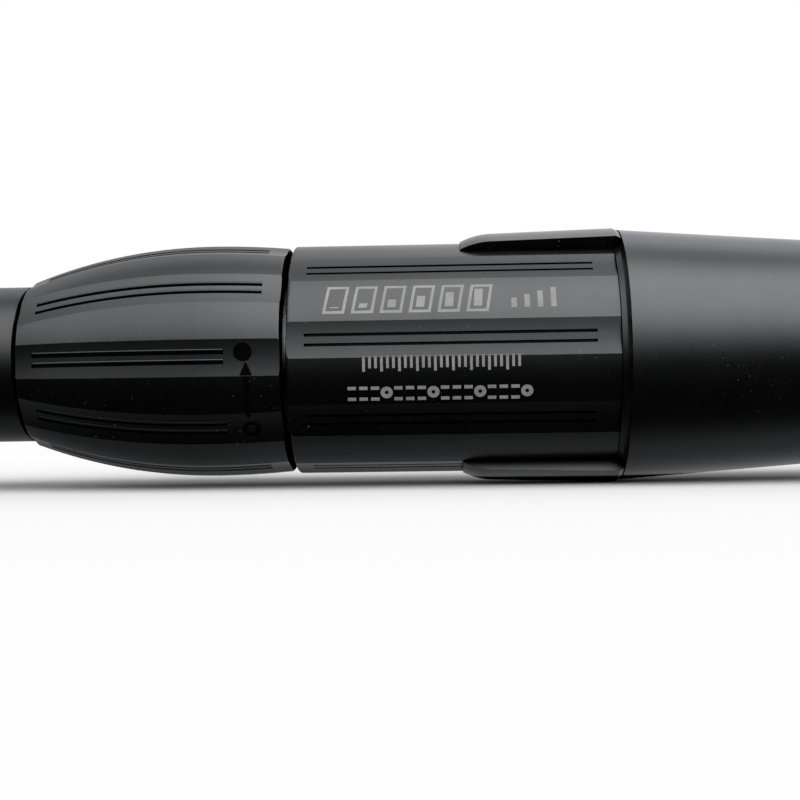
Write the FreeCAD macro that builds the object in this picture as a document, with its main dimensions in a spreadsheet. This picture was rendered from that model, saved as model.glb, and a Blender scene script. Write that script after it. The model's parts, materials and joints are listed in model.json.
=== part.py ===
import FreeCAD, Part
import os
import re

import Sketcher
from FreeCAD import Placement, Rotation, Vector

# Straight dental micromotor handpiece with a twist-lock chuck ring.
# The axis of the handpiece is +X, from the tool end (the collet's mouth, at the origin) to the cord
# end, and +Z is up. A clock angle is measured about +X from +Z, so 90 degrees is the -Y side.

DIMS = [
    # outer casing: stations along the axis and outer radii
    ("cap_front", 1.0), ("nose_front", 4.0), ("nose_shoulder", 23.0), ("nose_rear", 32.7),
    ("nose_tip_radius", 4.8), ("nose_radius", 8.5),
    ("ring_front", 33.0), ("ring_crest", 52.7), ("ring_rear", 61.05), ("ring_crest_radius", 12.55),
    ("barrel_front_radius", 55.4), ("barrel_rear_radius", 90.0), ("ring_turn", 54.0),
    ("body_front", 61.7), ("body_rear", 95.45), ("body_radius", 12.38), ("tail_radius", 11.8),
    ("tail_rear", 104.0), ("rim_front", 95.55), ("rim_step", 96.05), ("rim_rear", 96.4),
    ("rim_foot_radius", 12.42), ("body_turn", 2.2), ("body_edge", 0.4), ("rim_step_radius", 12.7),
    ("rim_radius", 13.5), ("cove_radius", 1.2), ("housing_rear", 137.0), ("housing_rear_radius", 10.54),
    ("cap_rear", 149.0), ("cap_shoulder", 146.5), ("cap_shoulder_radius", 9.7), ("cap_rear_radius", 8.2),
    ("edge", 0.25), ("ring_edge", 0.2), ("ring_lip", 0.2),
    # raised fingers of the rear housing
    ("finger_front", 79.5), ("finger_full", 83.1), ("finger_rear", 95.8), ("finger_end", 98.0),
    ("finger_inner_radius", 12.4), ("finger_full_radius", 13.37), ("finger_rim_radius", 13.7),
    ("finger_ramp_radius", 7.5), ("finger_angle", 53.0), ("finger_nose", 0.12),
    # flutes and fine grooves
    ("flute_radius", 17.0), ("flute_depth", 0.25), ("body_flutes", 9), ("ring_flutes", 10),
    ("groove_width", 0.32), ("groove_depth", 0.22), ("groove_pitch", 1.02), ("groove_top", 14.0),
    ("body_groove_front", 63.55), ("body_groove_rear", 93.1), ("ring_groove_front", 34.9),
    ("ring_groove_short", 55.4), ("ring_groove_long", 59.1), ("barrel_sweep", 26.0),
    # bearings
    ("shaft_radius", 3.0), ("race_wall", 0.95), ("small_race_radius", 6.0), ("race_radius", 6.5),
    ("small_pitch", 4.5), ("pitch", 4.75), ("small_ball", 0.947), ("ball", 1.0), ("ball_gap", 0.03),
    ("small_width", 4.0), ("width", 5.0), ("balls", 9), ("cage_half", 1.4), ("cage_wall", 0.3),
    ("pocket_gap", 0.05),
    ("bearing_one", 14.0), ("bearing_two", 24.0), ("bearing_three", 52.5), ("bearing_four", 68.0),
    ("bearing_five", 116.0),
    # front end
    ("cap_tail", 7.0), ("cap_tail_radius", 4.0), ("front_gap", 0.3), ("seal_front", 9.0),
    ("seal_rear", 12.0), ("seal_bore", 4.4), ("nose_step", 13.0), ("spacer_wall", 0.6),
    ("collet_bore", 1.175), ("collet_rear", 18.0), ("collet_slit", 0.3), ("collet_slits", 3),
    ("slit_rear", 13.0),
    ("taper_front", 2.0), ("taper_rear", 9.0), ("taper_front_radius", 2.3), ("taper_rear_radius", 1.75),
    ("taper_gap", 0.03), ("collet_tail_radius", 1.6), ("spindle_bore", 1.7), ("spindle_rear", 61.0),
    ("drawbar_rear", 50.0), ("drawbar_bore", 1.25), ("drawbar_stop", 32.0),
    ("pin_station", 44.6), ("cross_radius", 0.6), ("cross_half", 5.4), ("slot_gap", 0.05),
    ("collet_travel", 1.5), ("travel_gap", 0.2),
    ("spring_front", 33.0), ("spring_rear", 43.0), ("spring_mean", 4.0), ("spring_wire", 0.4),
    ("spring_turns", 6), ("spring_seat_radius", 4.6),
    ("thrust_front", 43.2), ("thrust_rear", 46.0), ("thrust_bore", 3.05), ("thrust_radius", 5.6),
    # twist-lock drive
    ("sleeve_front", 23.0), ("sleeve_rear", 67.0), ("thread_radius", 7.3), ("thread_rear", 33.0),
    ("sleeve_radius", 7.9), ("sleeve_bore", 6.5), ("sleeve_lip", 5.6), ("clip_front", 51.6),
    ("clip_radius", 6.9), ("clip_bore", 5.7), ("seat_ring_front", 57.4), ("seat_ring_rear", 59.6),
    ("seat_ring_radius", 7.3), ("seat_ring_wire", 0.95),
    ("lip_bore", 8.0), ("lip_rear", 38.5), ("ring_bore", 9.6), ("cam_front", 40.0), ("cam_rear", 56.0),
    ("cam_bore", 7.95), ("cam_step", 3.0), ("collar_front", 46.3), ("collar_rear", 51.3),
    ("collar_bore", 4.6), ("collar_radius", 6.42), ("cam_pin_radius", 0.9), ("cam_pin_inner", 5.4),
    ("cam_pin_outer", 9.3), ("cam_pins", 3), ("cam_gap", 0.12), ("collar_travel", 1.75),
    ("lock_turn", 45.0), ("retainer_front", 29.8), ("retainer_rear", 32.3), ("retainer_bore", 5.2),
    ("washer_wall", 0.8), ("rear_retainer_rear", 60.3), ("rear_retainer_bore", 4.9),
    ("key_front", 42.0), ("key_rear", 46.0), ("key_width", 1.6), ("key_bottom", 9.0), ("key_top", 10.1),
    # shaft coupling
    ("dog_front", 59.0), ("dog_face", 62.0), ("dog_rear", 64.0), ("dog_radius", 4.4), ("jaw_half", 0.9),
    ("jaw_inner", 1.6), ("jaw_outer", 4.2), ("jaw_gap", 0.1), ("motor_dog_rear", 67.0),
    ("shaft_front", 64.3), ("shaft_rear", 122.0),
    # motor
    ("flange_rear", 73.5), ("motor_radius", 10.9), ("yoke_bore", 9.7), ("yoke_rear", 108.0),
    ("flange_bore", 5.5), ("magnet_front", 76.0), ("magnet_rear", 104.0), ("magnet_inner", 7.7),
    ("magnet_outer", 9.65), ("magnet_angle", 130.0), ("core_front", 79.0), ("core_rear", 101.0),
    ("core_radius", 7.3), ("core_slots", 9), ("slot_pitch", 6.5), ("slot_radius", 0.9),
    ("wire_radius", 0.75), ("coil_front", 75.5), ("coil_rear", 104.5), ("coil_inner", 3.6),
    ("coil_outer", 6.9), ("commutator_front", 107.0), ("commutator_rear", 114.0),
    ("commutator_radius", 4.4), ("segment_gap", 0.3), ("segment_depth", 0.6),
    ("plate_radius", 10.3), ("plate_bore", 9.4), ("plate_floor", 113.5), ("plate_rear", 115.8),
    ("plate_hole", 4.9), ("hub_radius", 8.0), ("hub_rear", 121.3),
    ("brush_station", 111.5), ("holder_half", 2.0), ("channel_half", 1.3), ("holder_inner", 5.0),
    ("holder_outer", 9.0), ("brush_half", 1.25), ("brush_inner", 4.45), ("brush_outer", 7.6),
    ("brush_spring_outer", 8.95), ("brush_spring_mean", 0.8), ("brush_spring_wire", 0.15),
    ("brush_spring_turns", 3), ("brush_cap_outer", 9.3), ("tag_front", 115.8), ("tag_rear", 123.0),
    ("tag_width", 1.6), ("tag_inner", 8.8), ("tag_outer", 9.3),
    ("front_screw_front", 62.0), ("front_screw_neck", 63.4), ("front_screw_rear", 71.0),
    ("front_screw_pitch", 9.5), ("front_screw_head", 1.5), ("front_screw_radius", 1.0), ("screws", 3),
    # rear end
    ("housing_bore", 11.85), ("housing_bore_rear", 104.5), ("motor_bore", 11.0), ("motor_bore_rear", 112.0),
    ("plate_seat", 10.4), ("plate_seat_rear", 124.0), ("rear_bore", 9.3),
    ("body_seal_station", 99.0), ("body_seal_mean", 11.5), ("body_seal_wire", 0.35),
    ("body_seal_half", 0.4), ("body_bore", 11.0),
    ("spigot_front", 131.0), ("spigot_bore", 8.0), ("inlet_radius", 4.5), ("inlet_front", 141.0),
    ("gland_front", 139.5), ("gland_flange", 5.5), ("gland_bore", 3.2), ("gland_rear", 148.6),
]

FUNCTIONS = {"sqrt", "cos", "sin", "deg", "mm"}
FULL_TURN = 360.0
SIDE_CLOCK = 90.0
PAIR = 2
MARKED_FLUTES = 2
TINY = 1e-9

doc = FreeCAD.newDocument("handpiece")
sheet = doc.addObject("Spreadsheet::Sheet", "Dims")
for row, (alias, size) in enumerate(DIMS, start=1):
    sheet.set(f"A{row}", alias)
    sheet.set(f"B{row}", str(size))
    sheet.setAlias(f"B{row}", alias)
doc.recompute()

pieces = {}


def bound(expression):
    """The expression with every sheet alias written as Dims.alias."""
    def qualify(match):
        word = match.group()
        return word if word in FUNCTIONS else "Dims." + word
    return re.sub(r"[a-z_]+", qualify, expression)


def num(expression):
    return float(sheet.evalExpression(bound(expression)))


def bind(item, **properties):
    """Tie properties of an object to expressions of the sheet's sizes."""
    for name, expression in properties.items():
        item.setExpression(name.replace("__", "."), bound(expression))


def keep(name, item):
    """Make an object the finished piece of this name."""
    item.Label = name
    pieces[name] = item
    return item


# ---- sketches and turned bodies ------------------------------------------------------------------

def origin_feature(body, role):
    return next(item for item in body.Origin.OriginFeatures if item.Role == role)


def new_sketch(body, name, plane, offset="0"):
    sketch = body.newObject("Sketcher::SketchObject", name)
    sketch.AttachmentSupport = [(origin_feature(body, plane), "")]
    sketch.MapMode = "FlatFace"
    sketch.AttachmentOffset = Placement(Vector(0, 0, num(offset)), Rotation())
    bind(sketch, AttachmentOffset__Base__z=offset)
    return sketch


def arc_between(start, end, radius, crown):
    """The arc and whether it runs anticlockwise; a crown's centre lies on the axis side."""
    middle = (start + end) / 2
    chord = end - start
    rise = (radius ** 2 - (chord.Length / 2) ** 2) ** 0.5
    normal = Vector(-chord.y, chord.x, 0).normalize()
    if (normal.y > 0) == crown:
        normal = -normal
    centre = middle + normal * rise
    through = centre + (middle - centre).normalize() * radius
    anticlockwise = (start - centre).cross(end - centre).z > 0
    first, last = (start, end) if anticlockwise else (end, start)
    return Part.Arc(first, through, last), anticlockwise


def fix_point(sketch, geometry, position, along, across):
    """Hold one end of an edge at a place bound to the sheet."""
    for kind, axis_line, expression in (("DistanceX", -2, along), ("DistanceY", -1, across)):
        size = num(expression)
        if abs(size) < TINY:
            sketch.addConstraint(Sketcher.Constraint("PointOnObject", geometry, position, axis_line))
            continue
        index = sketch.addConstraint(Sketcher.Constraint(kind, -1, 1, geometry, position, size))
        sketch.setExpression(f"Constraints[{index}]", bound(expression))


def draw_outline(sketch, outline):
    """A closed outline: each corner is (along, across), or (along, across, radius, form) for an arc
    that runs from the corner before, where form is crown or hollow."""
    corners = [Vector(num(corner[0]), num(corner[1]), 0) for corner in outline]
    edges = []
    for index, corner in enumerate(outline):
        start = corners[index - 1]
        end = corners[index]
        if len(corner) == 2:
            geometry = sketch.addGeometry(Part.LineSegment(start, end), False)
            edges.append((geometry, 1, 2))
            continue
        arc, anticlockwise = arc_between(start, end, num(corner[2]), corner[3] == "crown")
        geometry = sketch.addGeometry(arc, False)
        edges.append((geometry, 1, 2) if anticlockwise else (geometry, 2, 1))
    for index, corner in enumerate(outline):
        geometry, _, tail = edges[index]
        following, head, _ = edges[(index + 1) % len(edges)]
        sketch.addConstraint(Sketcher.Constraint("Coincident", geometry, tail, following, head))
        fix_point(sketch, geometry, tail, corner[0], corner[1])
    for index, corner in enumerate(outline):
        if len(corner) > 2:
            radius = Sketcher.Constraint("Radius", edges[index][0], num(corner[2]))
            constraint = sketch.addConstraint(radius)
            sketch.setExpression(f"Constraints[{constraint}]", bound(corner[2]))


def revolve(body, name, outline, angle=None):
    """Spin an outline in the XZ plane about the X axis, all round or over an angle about +Z."""
    sketch = new_sketch(body, name + "_outline", "XZ_Plane")
    draw_outline(sketch, outline)
    feature = body.newObject("PartDesign::Revolution", name)
    feature.Profile = sketch
    feature.ReferenceAxis = (sketch, ["H_Axis"])
    feature.Angle = FULL_TURN
    if angle:
        feature.Midplane = True
        bind(feature, Angle=angle)
    return feature


def turned(name, outline, angle=None):
    """A turned piece as a PartDesign body, not yet kept."""
    body = doc.addObject("PartDesign::Body", name)
    body.Label = name + "_turned"
    revolve(body, name + "_turning", outline, angle)
    return body


def turned_piece(name, outline, angle=None):
    return keep(name, turned(name, outline, angle))


def tube(name, front, rear, inner, outer):
    """A plain ring or tube."""
    return turned(name, [(front, inner), (front, outer), (rear, outer), (rear, inner)])


def pocket_across(body, name, outline, offset, width):
    """Cut an outline in a plane beside XZ, a width thick."""
    sketch = new_sketch(body, name + "_outline", "XZ_Plane", offset)
    draw_outline(sketch, outline)
    feature = body.newObject("PartDesign::Pocket", name)
    feature.Profile = sketch
    feature.SideType = "Symmetric"
    bind(feature, Length=width)
    return feature


def polar(body, name, originals, count, angle=FULL_TURN):
    pattern = body.newObject("PartDesign::PolarPattern", name)
    pattern.Originals = originals
    pattern.Axis = (origin_feature(body, "X_Axis"), [""])
    pattern.Angle = angle
    pattern.Occurrences = int(count)
    body.Tip = pattern
    return pattern


# ---- primitives and booleans ---------------------------------------------------------------------

ALONG_X = Rotation(Vector(0, 0, 1), Vector(1, 0, 0))


def set_place(item, x, y, z, rotation):
    item.Placement = Placement(Vector(num(x), num(y), num(z)), rotation)
    bind(item, Placement__Base__x=x, Placement__Base__y=y, Placement__Base__z=z)
    return item


def rod(name, front, rear, radius, pitch="0", clock=0.0):
    """A cylinder along X, with its axis at a pitch radius and a clock angle."""
    item = doc.addObject("Part::Cylinder", name)
    bind(item, Radius=radius, Height=f"({rear}) - ({front})")
    return set_place(item, front, f"-({pitch}) * sin({clock})", f"({pitch}) * cos({clock})", ALONG_X)


def radial_pin(name, station, radius, inner, outer, clock=0.0):
    """A cylinder that points out from the axis."""
    item = doc.addObject("Part::Cylinder", name)
    bind(item, Radius=radius, Height=f"({outer}) - ({inner})")
    turn = Rotation(Vector(1, 0, 0), clock)
    return set_place(item, station, f"-({inner}) * sin({clock})", f"({inner}) * cos({clock})", turn)


def radial_box(name, front, rear, half, inner, outer, clock=0.0):
    """A box that stands out from the axis, half its width each side of the clock angle."""
    item = doc.addObject("Part::Box", name)
    bind(item, Length=f"({rear}) - ({front})", Width=f"2 * ({half})", Height=f"({outer}) - ({inner})")
    y = f"-({half}) * cos({clock}) - ({inner}) * sin({clock})"
    z = f"-({half}) * sin({clock}) + ({inner}) * cos({clock})"
    return set_place(item, front, y, z, Rotation(Vector(1, 0, 0), clock))


def torus(name, station, mean, wire):
    item = doc.addObject("Part::Torus", name)
    bind(item, Radius1=mean, Radius2=wire)
    return set_place(item, station, "0", "0", ALONG_X)


def joined(kind, name, items):
    """A compound, or a fusion of many, of document objects."""
    item = doc.addObject(kind, name)
    if kind == "Part::Compound":
        item.Links = items
    else:
        item.Shapes = items
    return item


def cut(name, base, tools):
    item = doc.addObject("Part::Cut", name)
    item.Base = base
    item.Tool = tools[0] if len(tools) == 1 else joined("Part::Compound", name + "_tools", tools)
    return item


def clocks(count, first=0.0):
    return [first + index * FULL_TURN / count for index in range(int(count))]


# ---- outer casing --------------------------------------------------------------------------------

def make_nose():
    turned_piece("nose_cone", [
        ("nose_front", "cap_tail_radius"), ("nose_front", "nose_tip_radius"),
        ("nose_shoulder", "nose_radius"), ("nose_rear - edge", "nose_radius"),
        ("nose_rear", "nose_radius - edge"), ("nose_rear", "thread_radius"),
        ("nose_shoulder", "thread_radius"), ("nose_shoulder", "small_race_radius"),
        ("nose_step", "small_race_radius"), ("nose_step", "seal_bore"),
        ("cap_tail", "seal_bore"), ("cap_tail", "cap_tail_radius")])
    turned_piece("dust_cap", [
        ("cap_front", "shaft_radius + front_gap"), ("cap_front", "cap_tail_radius"),
        ("cap_front + edge", "cap_tail_radius + edge"), ("nose_front", "nose_tip_radius"),
        ("nose_front", "cap_tail_radius"), ("cap_tail", "cap_tail_radius"),
        ("cap_tail", "shaft_radius + front_gap")])
    keep("dust_seal", tube("dust_seal", "seal_front", "seal_rear", "shaft_radius + front_gap",
                           "seal_bore"))


def barrel(station, depth="0"):
    """The chuck ring's outer radius at a station, less a depth, in front of the crest."""
    drop = f"(barrel_front_radius - sqrt(barrel_front_radius^2 - (ring_crest - ({station}))^2))"
    return f"ring_crest_radius - ({depth}) - {drop}"


def barrel_behind(station, depth="0"):
    drop = f"(barrel_rear_radius - sqrt(barrel_rear_radius^2 - (({station}) - ring_crest)^2))"
    return f"ring_crest_radius - ({depth}) - {drop}"


def barrel_flute(body, name, barrel_radius, reverse):
    """A hollow that follows the barrel: a circle swung about the centre of the barrel's arc."""
    sketch = new_sketch(body, name + "_outline", "YZ_Plane", "ring_crest")
    centre_height = "ring_crest_radius - flute_depth + flute_radius"
    circle = Part.Circle(Vector(0, num(centre_height), 0), Vector(0, 0, 1), num("flute_radius"))
    sketch.addGeometry(circle, False)
    fix_point(sketch, 0, 3, "0", centre_height)
    radius = sketch.addConstraint(Sketcher.Constraint("Radius", 0, num("flute_radius")))
    sketch.setExpression(f"Constraints[{radius}]", bound("flute_radius"))
    height = f"ring_crest_radius - {barrel_radius}"
    ends = [Vector(0, num(height), 0), Vector(num("flute_radius"), num(height), 0)]
    sketch.addGeometry(Part.LineSegment(ends[0], ends[1]), True)
    fix_point(sketch, 1, 1, "0", height)
    fix_point(sketch, 1, 2, "flute_radius", height)
    feature = body.newObject("PartDesign::Groove", name)
    feature.Profile = sketch
    feature.ReferenceAxis = (sketch, ["Axis0"])
    feature.Reversed = reverse
    bind(feature, Angle="barrel_sweep")
    return feature


def barrel_groove(body, name, rear, side):
    """One fine groove, a constant depth below the flute's floor."""
    depth = "(flute_depth + groove_depth)"
    front = "ring_groove_front"
    outline = [
        (front, "groove_top"), (front, barrel(front, depth)),
        ("ring_crest", f"ring_crest_radius - {depth}", f"barrel_front_radius - {depth}", "crown"),
        (rear, barrel_behind(rear, depth), f"barrel_rear_radius - {depth}", "crown"),
        (rear, "groove_top")]
    return pocket_across(body, name, outline, f"{side} * groove_pitch / 2", "groove_width")


def make_ring():
    body = turned("chuck_ring", [
        ("ring_front", "lip_bore"), ("ring_front", f"{barrel('ring_front + ring_lip')} - ring_lip"),
        ("ring_front + ring_lip", barrel("ring_front + ring_lip"), "ring_lip", "crown"),
        ("ring_crest", "ring_crest_radius", "barrel_front_radius", "crown"),
        ("ring_rear - ring_edge", barrel_behind("ring_rear - ring_edge"), "barrel_rear_radius",
         "crown"),
        ("ring_rear", f"{barrel_behind('ring_rear - ring_edge')} - ring_edge", "ring_edge", "crown"),
        ("ring_rear", "ring_bore"), ("lip_rear", "ring_bore"), ("lip_rear", "lip_bore")])
    flutes = [barrel_flute(body, "flute_front", "barrel_front_radius", True),
              barrel_flute(body, "flute_rear", "barrel_rear_radius", False)]
    polar(body, "ring_flute_pattern", flutes, num("ring_flutes"))
    step = FULL_TURN / num("ring_flutes")
    long_grooves = [barrel_groove(body, f"long_groove_{side}", "ring_groove_long", side)
                    for side in (-1, 1)]
    long_count = int(num("ring_flutes")) - MARKED_FLUTES
    polar(body, "long_groove_pattern", long_grooves, long_count, -(long_count - 1) * step)
    short_grooves = [barrel_groove(body, f"short_groove_{side}", "ring_groove_short", side)
                     for side in (-1, 1)]
    polar(body, "short_groove_pattern", short_grooves, MARKED_FLUTES + 1, MARKED_FLUTES * step)
    body.Placement = Placement(Vector(), Rotation(Vector(1, 0, 0), num("ring_turn")))
    key_seat = radial_box("ring_key_seat", "key_front", "key_rear", "key_width / 2", "key_bottom",
                          "key_top")
    keep("chuck_ring", cut("chuck_ring_keyed", body, [key_seat]))


def body_flute(body):
    sketch = new_sketch(body, "flute_outline", "YZ_Plane")
    centre_height = "body_radius - flute_depth + flute_radius"
    circle = Part.Circle(Vector(0, num(centre_height), 0), Vector(0, 0, 1), num("flute_radius"))
    sketch.addGeometry(circle, False)
    fix_point(sketch, 0, 3, "0", centre_height)
    radius = sketch.addConstraint(Sketcher.Constraint("Radius", 0, num("flute_radius")))
    sketch.setExpression(f"Constraints[{radius}]", bound("flute_radius"))
    feature = body.newObject("PartDesign::Pocket", "body_flute")
    feature.Profile = sketch
    feature.SideType = "Symmetric"
    feature.Type = "ThroughAll"
    return feature


def make_body():
    body = turned("body_shell", [
        ("body_front", "sleeve_radius"), ("body_front", "body_radius - body_edge"),
        ("body_front + body_edge", "body_radius", "body_edge", "crown"),
        ("body_rear", "body_radius"), ("body_rear", "tail_radius"),
        ("body_seal_station - body_seal_half", "tail_radius"),
        ("body_seal_station - body_seal_half", "body_seal_mean - body_seal_wire"),
        ("body_seal_station + body_seal_half", "body_seal_mean - body_seal_wire"),
        ("body_seal_station + body_seal_half", "tail_radius"),
        ("tail_rear", "tail_radius"), ("tail_rear", "body_bore"),
        ("sleeve_rear", "body_bore"), ("sleeve_rear", "sleeve_radius")])
    floor = "body_radius - flute_depth - groove_depth"
    outline = [("body_groove_front", floor), ("body_groove_rear", floor),
               ("body_groove_rear", "groove_top"), ("body_groove_front", "groove_top")]
    flute = body_flute(body)
    grooves = [pocket_across(body, f"body_groove_{side}", outline, f"{side} * groove_pitch / 2",
                             "groove_width") for side in (-1, 1)]
    polar(body, "body_flute_pattern", [flute] + grooves, num("body_flutes"))
    body.Placement = Placement(Vector(), Rotation(Vector(1, 0, 0), num("body_turn")))
    holes = front_screw_rods("body_hole")
    keep("body_shell", cut("body_shell_drilled", body, holes))


def front_screw_rods(name):
    """The front screws' heads and shanks, as rods."""
    rods = []
    for index, clock in enumerate(clocks(num("screws"))):
        rods.append(rod(f"{name}_head_{index}", "front_screw_front", "front_screw_neck",
                        "front_screw_head", "front_screw_pitch", clock))
        rods.append(rod(f"{name}_shank_{index}", "front_screw_neck", "front_screw_rear",
                        "front_screw_radius", "front_screw_pitch", clock))
        if name != "front_screw":
            rods.append(rod(f"{name}_mouth_{index}", "body_front", "front_screw_front",
                            "front_screw_head", "front_screw_pitch", clock))
    return rods


def make_rear_housing():
    body = turned("rear_housing", [
        ("rim_front", "housing_bore"), ("rim_front", "rim_foot_radius"),
        ("rim_step", "rim_step_radius"),
        ("rim_rear", "rim_radius", "cove_radius", "hollow"),
        ("housing_rear", "housing_rear_radius"), ("housing_rear", "rear_bore"),
        ("plate_seat_rear", "rear_bore"), ("plate_seat_rear", "plate_seat"),
        ("motor_bore_rear", "plate_seat"), ("motor_bore_rear", "motor_bore"),
        ("housing_bore_rear", "motor_bore"), ("housing_bore_rear", "housing_bore")])
    finger = revolve(body, "finger", [
        ("finger_front", "finger_inner_radius"),
        ("finger_front", "finger_inner_radius + finger_nose"),
        ("finger_full", "finger_full_radius", "finger_ramp_radius", "crown"),
        ("finger_rear", "finger_rim_radius"), ("rim_rear + edge", "rim_radius - edge"),
        ("finger_end", "rim_radius - 2 * edge"), ("finger_end", "finger_inner_radius")],
        "finger_angle")
    polar(body, "finger_pattern", [finger], 2)
    keep("rear_housing", body)


def make_rear_end():
    turned_piece("rear_cap", [
        ("spigot_front", "spigot_bore"), ("spigot_front", "rear_bore"),
        ("housing_rear", "rear_bore"), ("housing_rear", "housing_rear_radius - edge"),
        ("housing_rear + edge", "housing_rear_radius", "edge", "crown"),
        ("cap_shoulder", "cap_shoulder_radius"),
        ("cap_rear", "cap_rear_radius", "2 * cap_shoulder_radius / 5", "crown"),
        ("cap_rear", "inlet_radius"), ("inlet_front", "inlet_radius"),
        ("inlet_front", "spigot_bore")])
    turned_piece("cord_gland", [
        ("gland_front", "gland_bore"), ("gland_front", "gland_flange"),
        ("inlet_front", "gland_flange"), ("inlet_front", "inlet_radius"),
        ("gland_rear", "inlet_radius"), ("gland_rear", "gland_bore")])
    keep("body_o_ring", torus("body_o_ring", "body_seal_station", "body_seal_mean", "body_seal_wire"))


# ---- bearings ------------------------------------------------------------------------------------

BEARINGS = [("one", "small_width", "small_race_radius", "small_pitch", "small_ball"),
            ("two", "width", "race_radius", "pitch", "ball"),
            ("three", "width", "race_radius", "pitch", "ball"),
            ("four", "width", "race_radius", "pitch", "ball"),
            ("five", "width", "race_radius", "pitch", "ball")]


def ball_ring(name, station, pitch, radius):
    """Spheres evenly spaced round the pitch circle."""
    spheres = []
    for index, clock in enumerate(clocks(num("balls"))):
        sphere = doc.addObject("Part::Sphere", f"{name}_{index}")
        bind(sphere, Radius=radius)
        set_place(sphere, station, f"-{pitch} * sin({clock})", f"{pitch} * cos({clock})", Rotation())
        spheres.append(sphere)
    return spheres


def make_bearings():
    spheres = []
    cages = []
    for number, width, outer, pitch, ball in BEARINGS:
        front = f"bearing_{number}"
        middle = f"{front} + {width} / 2"
        rear = f"{front} + {width}"
        for race, low, high in (("outer_race", f"{outer} - race_wall", outer),
                                ("inner_race", "shaft_radius", "shaft_radius + race_wall")):
            name = f"bearing_{number}_{race}"
            track = torus(name + "_track", middle, pitch, f"{ball} + ball_gap")
            keep(name, cut(name + "_cut", tube(name, front, rear, low, high), [track]))
        spheres += ball_ring(f"ball_{number}", middle, pitch, ball)
        blank = tube(f"cage_{number}", f"{middle} - cage_half", f"{middle} + cage_half",
                     f"{pitch} - cage_wall / 2", f"{pitch} + cage_wall / 2")
        pockets = ball_ring(f"pocket_{number}", middle, pitch, f"{ball} + pocket_gap")
        cages.append(cut(f"cage_{number}_cut", blank, pockets))
    keep("bearing_balls", joined("Part::Compound", "ball_sets", spheres))
    keep("bearing_cages", joined("Part::Compound", "cage_sets", cages))


# ---- spindle and collet --------------------------------------------------------------------------

def make_spindle():
    body = turned("spindle", [
        ("taper_front", "taper_front_radius"), ("taper_front", "shaft_radius"),
        ("spindle_rear", "shaft_radius"), ("spindle_rear", "spindle_bore"),
        ("taper_rear", "spindle_bore"), ("taper_rear", "taper_rear_radius")])
    clearance = "cross_radius + slot_gap"
    slot = doc.addObject("Part::Box", "cross_pin_slot")
    front = f"pin_station - collet_travel - {clearance} - travel_gap"
    bind(slot, Length=f"collet_travel + 2 * ({clearance}) + 2 * travel_gap",
         Width=f"2 * ({clearance})", Height="2 * thrust_radius")
    set_place(slot, front, f"-({clearance})", "-thrust_radius", Rotation())
    keep("spindle", cut("spindle_slotted", body, [slot]))
    keep("inner_spacer", tube("inner_spacer", "bearing_two + width", "spring_front", "shaft_radius",
                              "spring_seat_radius"))
    keep("outer_spacer", tube("outer_spacer", "bearing_one + small_width", "nose_shoulder",
                              "small_race_radius - spacer_wall", "small_race_radius"))


def make_collet():
    slope = "(taper_front_radius - taper_rear_radius) / (taper_rear - taper_front)"
    face = f"taper_front_radius - taper_gap + {slope} * taper_front"
    blank = turned("collet", [
        ("0", "collet_bore"), ("0", f"{face} - edge"), ("edge", f"{face} - edge * {slope}"),
        ("taper_rear", "taper_rear_radius - taper_gap"), ("taper_rear", "collet_tail_radius"),
        ("collet_rear", "collet_tail_radius"), ("collet_rear", "collet_bore")])
    slits = [radial_box(f"collet_slit_{index}", "0", "slit_rear", "collet_slit / 2", "0",
                        "shaft_radius", clock) for index, clock in enumerate(clocks(num("collet_slits")))]
    keep("collet", cut("collet_slit", blank, slits))
    bar = turned("drawbar", [
        ("collet_rear", "drawbar_bore"), ("collet_rear", "collet_tail_radius"),
        ("drawbar_rear", "collet_tail_radius"), ("drawbar_rear", "0"), ("drawbar_stop", "0"),
        ("drawbar_stop", "drawbar_bore")])
    collar = tube("thrust_collar", "thrust_front", "thrust_rear", "thrust_bore", "thrust_radius")
    for name, blank in (("drawbar", bar), ("thrust_collar", collar)):
        hole = radial_pin(f"{name}_hole", "pin_station", "cross_radius", "-cross_half", "cross_half")
        keep(name, cut(f"{name}_drilled", blank, [hole]))
    keep("cross_pin", radial_pin("cross_pin", "pin_station", "cross_radius", "-cross_half",
                                 "cross_half"))


def coil(name, front, rear, mean, wire, turns, place):
    """A closed coil spring: a round wire along a helix."""
    length = num(rear) - num(front) - 2 * num(wire)
    helix = Part.makeLongHelix(length / num(turns), length, num(mean))
    start = Vector(num(mean), 0, 0)
    circle = Part.Wire(Part.makeCircle(num(wire), start, Vector(0, 1, 0)))
    item = doc.addObject("Part::Feature", name)
    item.Shape = Part.Wire(helix).makePipeShell([circle], True, True)
    item.Placement = place
    return keep(name, item)


# ---- twist-lock drive ----------------------------------------------------------------------------

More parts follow.
